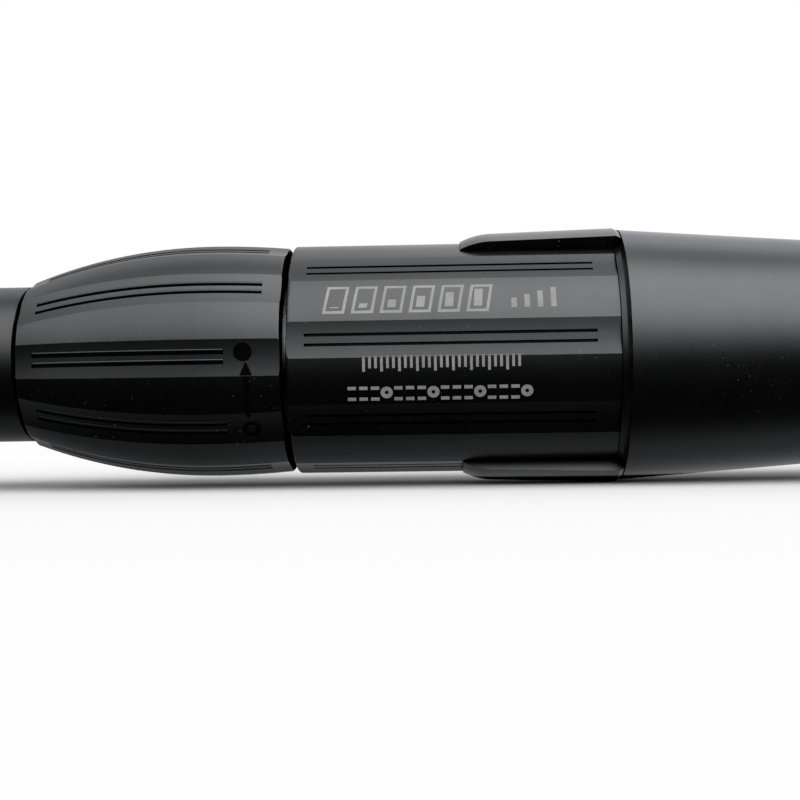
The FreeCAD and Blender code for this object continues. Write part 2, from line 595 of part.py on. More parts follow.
def make_guide_sleeve():
    blank = turned("guide_sleeve", [
        ("sleeve_front", "sleeve_lip"), ("sleeve_front", "thread_radius"),
        ("thread_rear", "thread_radius"), ("thread_rear", "sleeve_radius"),
        ("seat_ring_front", "sleeve_radius"), ("seat_ring_front", "seat_ring_radius"),
        ("seat_ring_rear", "seat_ring_radius"), ("seat_ring_rear", "sleeve_radius"),
        ("sleeve_rear", "sleeve_radius"), ("sleeve_rear", "sleeve_bore"),
        ("bearing_three", "sleeve_bore"), ("bearing_three", "clip_radius"),
        ("clip_front", "clip_radius"), ("clip_front", "sleeve_bore"),
        ("bearing_two", "sleeve_bore"), ("bearing_two", "sleeve_lip")])
    middle = "(collar_front + collar_rear) / 2"
    reach = "(cam_pin_radius + travel_gap)"
    slots = [radial_box(f"guide_slot_{index}", f"{middle} - collar_travel - {reach}",
                        f"{middle} + {reach}", "cam_pin_radius + slot_gap", "cam_pin_inner",
                        "cam_pin_outer", clock)
             for index, clock in enumerate(clocks(num("cam_pins")))]
    keep("guide_sleeve", cut("guide_sleeve_slotted", blank, slots))
    keep("bearing_circlip", tube("bearing_circlip", "clip_front", "bearing_three", "clip_bore",
                                 "clip_radius"))
    keep("front_retainer", tube("front_retainer", "retainer_front", "retainer_rear", "retainer_bore",
                                "sleeve_bore"))
    keep("preload_washer", tube("preload_washer", "bearing_three + width",
                                "bearing_three + width + washer_wall", "clip_bore", "sleeve_bore"))
    keep("rear_retainer", tube("rear_retainer", "bearing_three + width + washer_wall",
                               "rear_retainer_rear", "rear_retainer_bore", "sleeve_bore"))
    keep("ring_o_ring", torus("ring_o_ring", "(seat_ring_front + seat_ring_rear) / 2",
                              "seat_ring_radius + seat_ring_wire", "seat_ring_wire"))


def make_cam_sleeve():
    """The sleeve inside the ring: each helical slot is a row of overlapping round cuts."""
    body = tube("cam_sleeve", "cam_front", "cam_rear", "cam_bore", "ring_bore")
    doc.recompute()
    shape = body.Shape
    lead = num("collar_travel") / num("lock_turn")
    middle = (num("collar_front") + num("collar_rear")) / 2
    radius = num("cam_pin_radius") + num("cam_gap")
    steps = round(num("lock_turn") / num("cam_step")) + 1
    cutters = []
    for clock in clocks(num("cam_pins")):
        for step in range(-1, steps + 1):
            turn = step * num("cam_step")
            start = Vector(middle - lead * turn, 0, num("sleeve_bore"))
            cutter = Part.makeCylinder(radius, num("cam_pin_outer"), start, Vector(0, 0, 1))
            cutter.rotate(Vector(), Vector(1, 0, 0), clock - turn)
            cutters.append(cutter)
    seat = radial_box("cam_key_seat", "key_front", "key_rear", "key_width / 2", "key_bottom",
                      "key_top")
    doc.recompute()
    slotted = doc.addObject("Part::Feature", "cam_sleeve_slotted")
    slotted.Shape = shape.cut(cutters + [seat.Shape])
    slotted.Placement = Placement()
    keep("cam_sleeve", slotted)


def make_twist_drive():
    make_cam_sleeve()
    keep("ring_key", radial_box("ring_key", "key_front", "key_rear", "key_width / 2", "key_bottom",
                                "key_top"))
    middle = "(collar_front + collar_rear) / 2"
    pins = [[radial_pin(f"{kind}_{index}", middle, "cam_pin_radius", "cam_pin_inner",
                        "cam_pin_outer", clock)
             for index, clock in enumerate(clocks(num("cam_pins")))]
            for kind in ("collar_hole", "cam_pin")]
    collar = tube("shift_collar", "collar_front", "collar_rear", "collar_bore", "collar_radius")
    keep("shift_collar", cut("shift_collar_drilled", collar, pins[0]))
    keep("cam_pins", joined("Part::Compound", "cam_pin_set", pins[1]))


# ---- shaft coupling ------------------------------------------------------------------------------

def jaws(name, front, rear, inner, outer, first):
    return [radial_box(f"{name}_{index}", front, rear, "jaw_half", inner, outer, clock)
            for index, clock in enumerate(clocks(PAIR, first))]


def make_coupling():
    spindle_disc = turned("spindle_dog", [
        ("dog_front", "shaft_radius"), ("dog_front", "dog_radius"), ("dog_face", "dog_radius"),
        ("dog_face", "0"), ("spindle_rear", "0"), ("spindle_rear", "shaft_radius")])
    motor_disc = turned("motor_dog", [
        ("dog_rear", "0"), ("dog_rear", "dog_radius"), ("motor_dog_rear", "dog_radius"),
        ("motor_dog_rear", "shaft_radius"), ("shaft_front", "shaft_radius"), ("shaft_front", "0")])
    front = "dog_face + jaw_gap"
    rear = "dog_rear - jaw_gap"
    spindle_jaws = jaws("spindle_jaw", "dog_face", rear, "jaw_inner", "jaw_outer", 0.0)
    motor_jaws = jaws("motor_jaw", front, "dog_rear", "jaw_inner", "jaw_outer", SIDE_CLOCK)
    keep("spindle_dog", joined("Part::MultiFuse", "spindle_dog_fused", [spindle_disc] + spindle_jaws))
    keep("motor_dog", joined("Part::MultiFuse", "motor_dog_fused", [motor_disc] + motor_jaws))
    blank = rod("insert_blank", front, rear, "jaw_outer")
    seats = jaws("insert_seat_z", front, rear, "jaw_inner", "dog_radius", 0.0)
    seats += jaws("insert_seat_y", front, rear, "jaw_inner", "dog_radius", SIDE_CLOCK)
    keep("coupling_insert", cut("coupling_insert_cut", blank, seats))


# ---- motor ---------------------------------------------------------------------------------------

def make_motor_case():
    flange = turned("motor_front_flange", [
        ("sleeve_rear", "flange_bore"), ("sleeve_rear", "motor_radius"),
        ("flange_rear", "motor_radius"), ("flange_rear", "race_radius"),
        ("bearing_four", "race_radius"), ("bearing_four", "flange_bore")])
    keep("motor_front_flange", cut("motor_flange_drilled", flange, front_screw_rods("flange_hole")))
    keep("front_screws", joined("Part::Compound", "front_screw_set", front_screws()))
    keep("motor_yoke", tube("motor_yoke", "flange_rear", "yoke_rear", "yoke_bore", "motor_radius"))
    outline = [("magnet_front", "magnet_inner"), ("magnet_front", "magnet_outer"),
               ("magnet_rear", "magnet_outer"), ("magnet_rear", "magnet_inner")]
    for number, clock in enumerate(clocks(PAIR, SIDE_CLOCK), start=1):
        magnet = turned_piece(f"magnet_{number}", outline, "magnet_angle")
        magnet.Placement = Placement(Vector(), Rotation(Vector(1, 0, 0), clock))
    turned_piece("brush_plate", [
        ("yoke_rear", "plate_bore"), ("yoke_rear", "plate_radius"), ("plate_rear", "plate_radius"),
        ("plate_rear", "hub_radius"), ("hub_rear", "hub_radius"), ("hub_rear", "race_radius"),
        ("bearing_five", "race_radius"), ("bearing_five", "plate_hole"),
        ("plate_floor", "plate_hole"), ("plate_floor", "plate_bore")])
    tags = [radial_box(f"tag_{index}", "tag_front", "tag_rear", "tag_width / 2", "tag_inner",
                       "tag_outer", clock) for index, clock in enumerate(clocks(PAIR, SIDE_CLOCK))]
    keep("terminals", joined("Part::Compound", "terminal_pair", tags))


def front_screws():
    """Each screw is its head fused to its shank."""
    rods = front_screw_rods("front_screw")
    return [joined("Part::MultiFuse", f"front_screw_{index}", rods[2 * index:2 * index + 2])
            for index in range(int(num("screws")))]


def make_rotor():
    keep("motor_shaft", rod("motor_shaft", "shaft_front", "shaft_rear", "shaft_radius"))
    core = tube("armature_core", "core_front", "core_rear", "shaft_radius", "core_radius")
    slots = [rod(f"core_slot_{index}", "core_front", "core_rear", "slot_radius", "slot_pitch", clock)
             for index, clock in enumerate(clocks(num("core_slots")))]
    keep("armature_core", cut("armature_core_slotted", core, slots))
    ends = [tube("front_coil_end", "coil_front", "core_front", "coil_inner", "coil_outer"),
            tube("rear_coil_end", "core_rear", "coil_rear", "coil_inner", "coil_outer")]
    wires = [rod(f"coil_side_{index}", "core_front - edge", "core_rear + edge", "wire_radius",
                 "slot_pitch", clock) for index, clock in enumerate(clocks(num("core_slots")))]
    keep("armature_windings", joined("Part::MultiFuse", "windings_fused", ends + wires))
    drum = tube("commutator", "commutator_front", "commutator_rear", "shaft_radius",
                "commutator_radius")
    gaps = [radial_box(f"segment_gap_{index}", "commutator_front", "commutator_rear",
                       "segment_gap / 2", "commutator_radius - segment_depth", "plate_hole", clock)
            for index, clock in enumerate(clocks(num("core_slots")))]
    keep("commutator", cut("commutator_slit", drum, gaps))


def make_brushes():
    holders = []
    caps = []
    for number, clock in enumerate(clocks(PAIR), start=1):
        blank = radial_box(f"holder_blank_{number}", "brush_station - holder_half",
                           "brush_station + holder_half", "holder_half", "holder_inner",
                           "holder_outer", clock)
        channel = radial_box(f"holder_channel_{number}", "brush_station - channel_half",
                             "brush_station + channel_half", "channel_half", "holder_inner",
                             "holder_outer", clock)
        holders.append(cut(f"holder_{number}", blank, [channel]))
        caps.append(radial_pin(f"cap_{number}", "brush_station", "channel_half",
                               "brush_spring_outer", "brush_cap_outer", clock))
        keep(f"carbon_brush_{number}", radial_box(
            f"carbon_brush_{number}", "brush_station - brush_half", "brush_station + brush_half",
            "brush_half", "brush_inner", "brush_outer", clock))
        turn = Rotation(Vector(1, 0, 0), clock)
        inner = num("brush_outer") + num("brush_spring_wire")
        place = Placement(turn.multVec(Vector(0, 0, inner)) + Vector(num("brush_station"), 0, 0), turn)
        coil(f"brush_spring_{number}", "brush_outer", "brush_spring_outer", "brush_spring_mean",
             "brush_spring_wire", "brush_spring_turns", place)
    keep("brush_holders", joined("Part::Compound", "holder_pair", holders))
    keep("brush_caps", joined("Part::Compound", "cap_pair", caps))


def failed(item):
    return [state for state in item.State if state in ("Invalid", "Error")]


def write_parts():
    """Check every object and every piece, then write one STEP file for each piece."""
    doc.recompute()
    broken = [item.Name for item in doc.Objects if failed(item)]
    if broken:
        raise RuntimeError(f"these objects failed: {broken}")
    for name, item in pieces.items():
        if item.Shape.isNull() or not item.Shape.isValid() or not item.Shape.Solids:
            raise RuntimeError(f"{name} is not a valid solid")
    os.makedirs("parts", exist_ok=True)
    for name, item in pieces.items():
        item.Shape.exportStep(f"parts/{name}.step")
    print(len(pieces), "pieces written")


make_nose()
make_ring()
make_body()
make_rear_housing()
make_rear_end()
make_bearings()
make_spindle()
make_collet()
spring_place = Placement(Vector(num("spring_front + spring_wire"), 0, 0), ALONG_X)
coil("collet_spring", "spring_front", "spring_rear", "spring_mean", "spring_wire", "spring_turns",
     spring_place)
make_guide_sleeve()
make_twist_drive()
make_coupling()
make_motor_case()
make_rotor()
make_brushes()
write_parts()
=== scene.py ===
import json
import math

import bmesh
import bpy
from mathutils import Matrix, Vector
from mathutils.bvhtree import BVHTree


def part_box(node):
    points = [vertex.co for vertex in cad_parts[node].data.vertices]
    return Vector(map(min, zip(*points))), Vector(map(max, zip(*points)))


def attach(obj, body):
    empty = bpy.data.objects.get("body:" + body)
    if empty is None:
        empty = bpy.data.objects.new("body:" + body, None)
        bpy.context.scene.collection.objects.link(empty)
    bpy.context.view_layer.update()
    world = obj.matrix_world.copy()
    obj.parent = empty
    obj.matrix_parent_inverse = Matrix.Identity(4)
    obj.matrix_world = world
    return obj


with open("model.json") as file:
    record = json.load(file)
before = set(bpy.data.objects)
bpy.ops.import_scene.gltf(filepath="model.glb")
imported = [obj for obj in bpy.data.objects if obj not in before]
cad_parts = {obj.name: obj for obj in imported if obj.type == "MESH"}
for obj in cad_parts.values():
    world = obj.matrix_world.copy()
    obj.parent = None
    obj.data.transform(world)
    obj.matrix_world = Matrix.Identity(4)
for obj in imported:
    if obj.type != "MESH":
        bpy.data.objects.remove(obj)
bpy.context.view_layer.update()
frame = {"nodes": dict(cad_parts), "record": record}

# Looks of a straight dental micromotor handpiece. Its axis is +X, towards the cord end, and a
# station is a place along it. Angles around it are elevations: 0 degrees is the -Y side, 90 is +Z.

MM = 0.001
nodes = frame["nodes"]


def corner(node, high):
    """The lowest or highest corner of a CAD node."""
    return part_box(node)[1 if high else 0]


ring_front = corner("chuck_ring", False).x
ring_rear = corner("chuck_ring", True).x
body_front = corner("body_shell", False).x
floor_height = corner("rear_housing", False).z


# ---- camera --------------------------------------------------------------------------------------

SENSOR = 36.0
LENS = 61.47
CLIP_START = 5.0 * MM
CLIP_END = 20.0
VIEW_DISTANCE = 149.5 * MM
VIEW_STATION = 72.8 * MM
AXIS_RISE = 4.54 * MM
YAW = math.radians(2.2)
ROLL = math.radians(0.86)
ELEVATION = math.radians(0.0)


def make_camera():
    """The camera looks along +Y, with the handpiece's rear end slightly nearer than its tip."""
    forward = Vector((-math.sin(YAW), math.cos(YAW) * math.cos(ELEVATION), -math.sin(ELEVATION)))
    forward.normalize()
    level = forward.cross(Vector((0, 0, 1))).normalized()
    roll = Matrix.Rotation(ROLL, 3, forward)
    right = roll @ level
    up = right.cross(forward).normalized()
    data = bpy.data.cameras.new("camera")
    data.sensor_width = SENSOR
    data.lens = LENS
    data.clip_start = CLIP_START
    data.clip_end = CLIP_END
    camera = bpy.data.objects.new("camera", data)
    bpy.context.scene.collection.objects.link(camera)
    place = Vector((VIEW_STATION, 0, 0)) - forward * VIEW_DISTANCE - up * AXIS_RISE
    turn = Matrix((right, up, -forward)).transposed().to_4x4()
    camera.matrix_world = Matrix.Translation(place) @ turn
    bpy.context.scene.camera = camera


# ---- studio --------------------------------------------------------------------------------------

# Radiance of the surrounding soft light by its elevation around the handpiece, in degrees: 0 is
# level on the camera's side, 90 is straight up and 180 is level behind.
GLOW = ((-180, 0.35), (-155, 0.4), (-130, 0.3), (-109, 0.22), (-96, 0.3), (-84, 0.14), (-74, 0.03),
        (-60, 0.0), (-8, 0.0), (2, 0.25), (12, 1.0), (31, 3.5), (45, 4.5), (72, 4.5), (84, 3.3),
        (92, 2.1), (100, 1.0), (110, 1.1), (124, 1.65), (138, 1.05), (180, 0.95))
# Its share by the X part of the direction, from the tip's end to the cord's end.
ALONG = ((-1.0, 0.08), (-0.88, 0.16), (-0.75, 0.62), (-0.3, 0.72), (-0.2, 0.7), (-0.105, 0.88),
         (0.05, 1.12), (0.16, 1.18), (1.0, 1.2))
GLOW_PEAK = 5.0
ALONG_PEAK = 1.5
GLOW_TINT = (0.965, 0.995, 1.035, 1.0)
BACKDROP = (1.0, 1.0, 1.0, 1.0)
FLOOR_WHITE = (0.435, 0.422, 0.406, 1.0)
FLOOR_HALF = 3.0


def make_sky():
    """Soft light that changes with elevation and a little along the axis, on a white backdrop."""
    world = bpy.data.worlds.new("studio")
    bpy.context.scene.world = world
    world.use_nodes = True
    tree = world.node_tree
    tree.nodes.clear()

    def math_node(operation, *values):
        made = tree.nodes.new("ShaderNodeMath")
        made.operation = operation
        for socket, value in zip(made.inputs, values):
            if isinstance(value, bpy.types.NodeSocket):
                tree.links.new(value, socket)
            else:
                socket.default_value = value
        return made.outputs["Value"]

    def table(stops, low, high, peak, socket):
        """Look a value up in a table of stops that runs from low to high; the result is a share of peak."""
        ramp = tree.nodes.new("ShaderNodeValToRGB")
        elements = ramp.color_ramp.elements
        while len(elements) < len(stops):
            elements.new(1.0)
        for element, (place, value) in zip(elements, stops):
            element.position = (place - low) / (high - low)
            element.color = (value / peak,) * 3 + (1.0,)
        share = math_node("MULTIPLY_ADD", socket, 1 / (high - low), -low / (high - low))
        tree.links.new(share, ramp.inputs["Fac"])
        return ramp.outputs["Color"]

    direction = tree.nodes.new("ShaderNodeSeparateXYZ")
    tree.links.new(tree.nodes.new("ShaderNodeTexCoord").outputs["Generated"], direction.inputs[0])
    toward = math_node("MULTIPLY", direction.outputs["Y"], -1.0)
    elevation = math_node("ARCTAN2", direction.outputs["Z"], toward)
    around = table(GLOW, -180, 180, GLOW_PEAK, math_node("DEGREES", elevation))
    along = table(ALONG, -1, 1, ALONG_PEAK, direction.outputs["X"])
    shared = math_node("MULTIPLY", around, along)

    glow = tree.nodes.new("ShaderNodeBackground")
    glow.inputs["Color"].default_value = GLOW_TINT
    tree.links.new(math_node("MULTIPLY", shared, GLOW_PEAK * ALONG_PEAK), glow.inputs["Strength"])
    backdrop = tree.nodes.new("ShaderNodeBackground")
    backdrop.inputs["Color"].default_value = BACKDROP
    mix = tree.nodes.new("ShaderNodeMixShader")
    tree.links.new(tree.nodes.new("ShaderNodeLightPath").outputs["Is Camera Ray"], mix.inputs["Fac"])
    tree.links.new(glow.outputs["Background"], mix.inputs[1])
    tree.links.new(backdrop.outputs["Background"], mix.inputs[2])
    output = tree.nodes.new("ShaderNodeOutputWorld")
    tree.links.new(mix.outputs["Shader"], output.inputs["Surface"])


def make_floor():
    """A wide pale floor that the handpiece rests on; it isn't mirrored in the casing."""
    mesh = bpy.data.meshes.new("floor")
    points = [(x * FLOOR_HALF + VIEW_STATION, y * FLOOR_HALF, floor_height) for x, y in
              ((-1, -1), (1, -1), (1, 1), (-1, 1))]
    mesh.from_pydata(points, [], [(0, 1, 2, 3)])
    floor = bpy.data.objects.new("floor", mesh)
    bpy.context.scene.collection.objects.link(floor)
    floor.visible_glossy = False
    material = bpy.data.materials.new("floor_paper")
    material.use_nodes = True
    shader = material.node_tree.nodes["Principled BSDF"]
    shader.inputs["Base Color"].default_value = FLOOR_WHITE
    shader.inputs["Roughness"].default_value = 1.0
    shader.inputs["Specular IOR Level"].default_value = 0.0
    mesh.materials.append(material)


# ---- materials -----------------------------------------------------------------------------------

# Spans of noise that a ramp takes from its start to its end.
EVEN = (0.3, 0.7)
PATCHY = (0.35, 0.7)
STRANDED = (0.35, 0.65)

# The colour sockets of the mix node, by index, because its socket names repeat.
MIX_COLORS = (6, 7)
MIX_RESULT = 2
OPENNESS_SAMPLES = 12


class Shader:
    """A short way to add and join the nodes of one material."""

    def __init__(self, name):
        self.material = bpy.data.materials.new(name)
        self.material.use_nodes = True
        self.tree = self.material.node_tree
        self.surface = self.tree.nodes["Principled BSDF"]
        self.place = self.node("ShaderNodeTexCoord").outputs["Object"]

    def node(self, kind, **settings):
        made = self.tree.nodes.new(kind)
        for name, value in settings.items():
            setattr(made, name, value)
        return made

    def link(self, source, target):
        self.tree.links.new(source, target)

    def stretched(self, scale):
        """The object's coordinates, scaled along X, Y and Z."""
        mapping = self.node("ShaderNodeMapping")
        mapping.inputs["Scale"].default_value = scale
        self.link(self.place, mapping.inputs["Vector"])
        return mapping.outputs["Vector"]

    def noise(self, size, detail, vector=None):
        """Fractal noise whose features are about this size, in metres."""
        made = self.node("ShaderNodeTexNoise")
        made.inputs["Scale"].default_value = 1.0 / size
        made.inputs["Detail"].default_value = detail
        self.link(vector or self.place, made.inputs["Vector"])
        return made.outputs["Fac"]

    def ramp(self, value, low, high, start, end):
        """value from low to high becomes start to end, clamped."""
        made = self.node("ShaderNodeMapRange")
        for name, number in (("From Min", low), ("From Max", high), ("To Min", start), ("To Max", end)):
            made.inputs[name].default_value = number
        self.link(value, made.inputs["Value"])
        return made.outputs["Result"]

    def blend(self, share, first, second):
        """A colour between two, where each is a colour or a socket."""
        made = self.node("ShaderNodeMix", data_type="RGBA")
        self.link(share, made.inputs["Factor"])
        for index, value in zip(MIX_COLORS, (first, second)):
            if isinstance(value, tuple):
                made.inputs[index].default_value = value
            else:
                self.link(value, made.inputs[index])
        return made.outputs[MIX_RESULT]

    def bump(self, height, distance):
        """A normal from a height that spans this distance."""
        made = self.node("ShaderNodeBump")
        made.inputs["Strength"].default_value = 1.0
        made.inputs["Distance"].default_value = distance
        self.link(height, made.inputs["Height"])
        return made.outputs["Normal"]

    def product(self, first, second):
        made = self.node("ShaderNodeMath", operation="MULTIPLY")
        self.link(first, made.inputs[0])
        self.link(second, made.inputs[1])
        return made.outputs[0]

    def total(self, first, second):
        made = self.node("ShaderNodeMath", operation="ADD")
        self.link(first, made.inputs[0])
        self.link(second, made.inputs[1])
        return made.outputs[0]

    def openness(self, reach):
        """How open the surface is to its surroundings within this reach: low in grooves and gaps."""
        made = self.node("ShaderNodeAmbientOcclusion", samples=OPENNESS_SAMPLES)
        made.inputs["Distance"].default_value = reach
        return made.outputs["AO"]

    def set(self, **values):
        """Put constants or sockets on the surface shader, by socket name with _ for a space."""
        for name, value in values.items():
            socket = self.surface.inputs[name.replace("_", " ")]
            if isinstance(value, bpy.types.NodeSocket):
                self.link(value, socket)
            else:
                socket.default_value = value


def grey(level, tint=(1.0, 1.0, 1.0)):
    """A grey of this level, as a colour with alpha."""
    return (level * tint[0], level * tint[1], level * tint[2], 1.0)


MOTTLE_SIZE = 6.0 * MM
DUST_SIZE = 0.25 * MM
DUST_SPAN = (0.75, 0.81)
DUST_PATCH_SIZE = 9.0 * MM
DUST_PATCH_SPAN = (0.45, 0.65)
DUST_GREY = 0.1
HANDLING_SIZE = 14.0 * MM
ROUGHNESS_DRIFT = 0.02
# Reach and span of the painted shade in crevices: there the casing's reflection is faded out.
CREVICE_REACH = 1.1 * MM
CREVICE_SPAN = (0.62, 0.93)
SHINE = 0.5
SHINE_DRIFT = 0.04


def satin_black(name, level, roughness, grain, grain_depth):
    """Black anodised or moulded casing: fine grain, faint mottling, a little dust, and painted shade in
    crevices, where the reflection fades out.
    """
    s = Shader(name)
    mottle = s.noise(MOTTLE_SIZE, 4.0)
    base = s.blend(s.ramp(mottle, *PATCHY, 0.0, 1.0), grey(level * 0.6), grey(level * 1.4))
    dust = s.product(s.ramp(s.noise(DUST_SIZE, 1.0), *DUST_SPAN, 0.0, 1.0),
                     s.ramp(s.noise(DUST_PATCH_SIZE, 2.0), *DUST_PATCH_SPAN, 0.0, 1.0))
    fine = s.noise(grain, 2.0)
    rough = s.total(s.ramp(s.noise(HANDLING_SIZE, 3.0), *EVEN,
                           roughness - ROUGHNESS_DRIFT, roughness + ROUGHNESS_DRIFT),
                    s.ramp(fine, *EVEN, -ROUGHNESS_DRIFT, ROUGHNESS_DRIFT))
    # Painted shade: the reflection fades to nothing where the surface is closed in, in grooves, gaps and
    # corners between parts; the mottle also varies it a little at random.
    crevice_shaded_shine = s.product(s.ramp(s.openness(CREVICE_REACH), *CREVICE_SPAN, 0.0, 1.0),
                      s.ramp(mottle, *EVEN, SHINE * (1 - SHINE_DRIFT), SHINE * (1 + SHINE_DRIFT)))
    s.set(Base_Color=s.blend(dust, base, grey(DUST_GREY)), Roughness=rough,
          Normal=s.bump(fine, grain_depth), Specular_IOR_Level=crevice_shaded_shine)
    return s.material


TOOL_RING_SIZE = 0.12 * MM
STAIN_SIZE = 3.0 * MM
# Reach and span of the painted shade in the metal's crevices.
METAL_CREVICE_REACH = 1.6 * MM
METAL_CREVICE_SPAN = (0.6, 0.95)
METAL_BUMP = 0.004 * MM


def turned_metal(name, color, roughness, ring_size=TOOL_RING_SIZE):
    """Turned or ground metal: rings around the axis from the tool, faint stains, and painted shade that
    turns the colour black in crevices.
    """
    s = Shader(name)
    rings = s.noise(ring_size, 2.0, s.stretched((1.0, 0.04, 0.04)))
    stain = s.noise(STAIN_SIZE, 3.0)
    dark = tuple(0.82 * channel for channel in color) + (1.0,)
    light = tuple(color) + (1.0,)
    clean = s.blend(s.ramp(stain, *PATCHY, 0.0, 1.0), dark, light)
    # Painted shade: the colour goes to black where the surface is closed in, in gaps, recesses and between
    # parts.
    depth = s.ramp(s.openness(METAL_CREVICE_REACH), *METAL_CREVICE_SPAN, 0.0, 1.0)
    s.set(Base_Color=s.blend(depth, grey(0.0), clean),
          Roughness=s.ramp(rings, *EVEN, roughness - 0.06, roughness + 0.08),
          Normal=s.bump(rings, METAL_BUMP), Metallic=1.0)
    return s.material


WIRE_SIZE = 0.16 * MM
WIRE_DARK = (0.28, 0.09, 0.03, 1.0)
WIRE_LIGHT = (0.62, 0.26, 0.1, 1.0)


def wound_copper(name):
    """Enamelled wire: fine parallel strands along the axis."""
    s = Shader(name)
    strands = s.noise(WIRE_SIZE, 1.0, s.stretched((0.08, 1.0, 1.0)))
    color = s.blend(s.ramp(strands, *STRANDED, 0.0, 1.0), WIRE_DARK, WIRE_LIGHT)
    s.set(Base_Color=color, Roughness=s.ramp(strands, *EVEN, 0.25, 0.4),
          Normal=s.bump(strands, 0.05 * MM), Metallic=0.8)
    return s.material


def dull_solid(name, color, roughness, grain, depth, specular=0.5):
    """Rubber, sintered ferrite, carbon, moulded plastic or matt paint."""
    s = Shader(name)
    speck = s.noise(grain, 4.0)
    low = tuple(0.75 * channel for channel in color) + (1.0,)
    high = tuple(min(1.0, 1.25 * channel) for channel in color) + (1.0,)
    s.set(Base_Color=s.blend(s.ramp(speck, *EVEN, 0.0, 1.0), low, high),
          Roughness=s.ramp(speck, *EVEN, roughness - 0.08, roughness + 0.08),
          Normal=s.bump(speck, depth), Specular_IOR_Level=specular)
    return s.material


PIT_SIZE = 0.09 * MM
PIT_SPAN = (0.58, 0.72)
PIT_GREY = 0.05
ETCH_DRIFT_SIZE = 2.5 * MM
ETCH_TINT = (1.0, 0.97, 0.9)


def etched_grey(name, level):
    """A pale laser etching: slightly uneven, with pits where the mark didn't take."""
    s = Shader(name)
    pits = s.noise(PIT_SIZE, 3.0)
    drift = s.noise(ETCH_DRIFT_SIZE, 2.0)
    base = s.blend(s.ramp(drift, *PATCHY, 0.0, 1.0), grey(level * 0.85, ETCH_TINT),
                   grey(level * 1.1, ETCH_TINT))
    s.set(Base_Color=s.blend(s.ramp(pits, *PIT_SPAN, 0.0, 0.8), base, grey(PIT_GREY)),
          Roughness=s.ramp(pits, *EVEN, 0.5, 0.7), Normal=s.bump(pits, 0.008 * MM))
    return s.material


def make_materials():
    """One material for each of the record's slots."""
    return {
        "nose_black": satin_black("nose_black", 0.0006, 0.29, 0.14 * MM, 0.0008 * MM),
        "ring_black": satin_black("ring_black", 0.0006, 0.29, 0.16 * MM, 0.001 * MM),
        "casing_black": satin_black("casing_black", 0.0006, 0.28, 0.14 * MM, 0.0008 * MM),
        "housing_black": satin_black("housing_black", 0.0008, 0.28, 0.22 * MM, 0.002 * MM),
        "bright_steel": turned_metal("bright_steel", (0.72, 0.73, 0.74), 0.22),
        "gland_rubber": dull_solid("gland_rubber", (0.022, 0.022, 0.023), 0.65, 0.12 * MM, 0.01 * MM),
        "seal_rubber": dull_solid("seal_rubber", (0.03, 0.03, 0.03), 0.6, 0.12 * MM, 0.01 * MM),
        "bearing_steel": turned_metal("bearing_steel", (0.78, 0.79, 0.8), 0.14),
        "cage_brass": turned_metal("cage_brass", (0.75, 0.55, 0.24), 0.3),
        "machined_steel": turned_metal("machined_steel", (0.58, 0.59, 0.6), 0.28),
        "spring_steel": turned_metal("spring_steel", (0.5, 0.5, 0.52), 0.3),
        "flange_aluminium": turned_metal("flange_aluminium", (0.74, 0.75, 0.76), 0.3, 0.2 * MM),
        "magnet_ferrite": dull_solid("magnet_ferrite", (0.06, 0.06, 0.065), 0.55, 0.1 * MM, 0.006 * MM),
        "winding_copper": wound_copper("winding_copper"),
        "contact_brass": turned_metal("contact_brass", (0.78, 0.6, 0.28), 0.28),
        "plate_plastic": dull_solid("plate_plastic", (0.12, 0.07, 0.045), 0.5, 0.3 * MM, 0.006 * MM),
        "brush_carbon": dull_solid("brush_carbon", (0.02, 0.02, 0.022), 0.5, 0.08 * MM, 0.01 * MM),
    }


def dress_nodes(materials):
    """Give every CAD node the material of its slot."""
    slots = {part["node"]: part["material_slot"] for part in frame["record"]["subparts"]}
    for name, item in nodes.items():
        item.data.materials.clear()
        item.data.materials.append(materials[slots[name]])


# ---- marks on the casing -------------------------------------------------------------------------

def wrap(station, angle, radius):
    """A point on a circle about the axis."""
    return Vector((station, -radius * math.cos(angle), radius * math.sin(angle)))


class Skin:
    """The outer surface of one CAD node, found by looking inwards at the axis."""

    OUTSIDE = 30 * MM       # where the look starts, clear of every piece

    def __init__(self, name):
        item = nodes[name]
        bpy.context.view_layer.update()
        points = [item.matrix_world @ vertex.co for vertex in item.data.vertices]
        faces = [tuple(polygon.vertices) for polygon in item.data.polygons]
        self.tree = BVHTree.FromPolygons(points, faces)

    def radius(self, station, angle):
        """How far out the surface is at this station and angle."""
        start = wrap(station, angle, self.OUTSIDE)
        distance = self.tree.ray_cast(start, wrap(0, angle, -1.0))[3]
        return self.OUTSIDE - distance


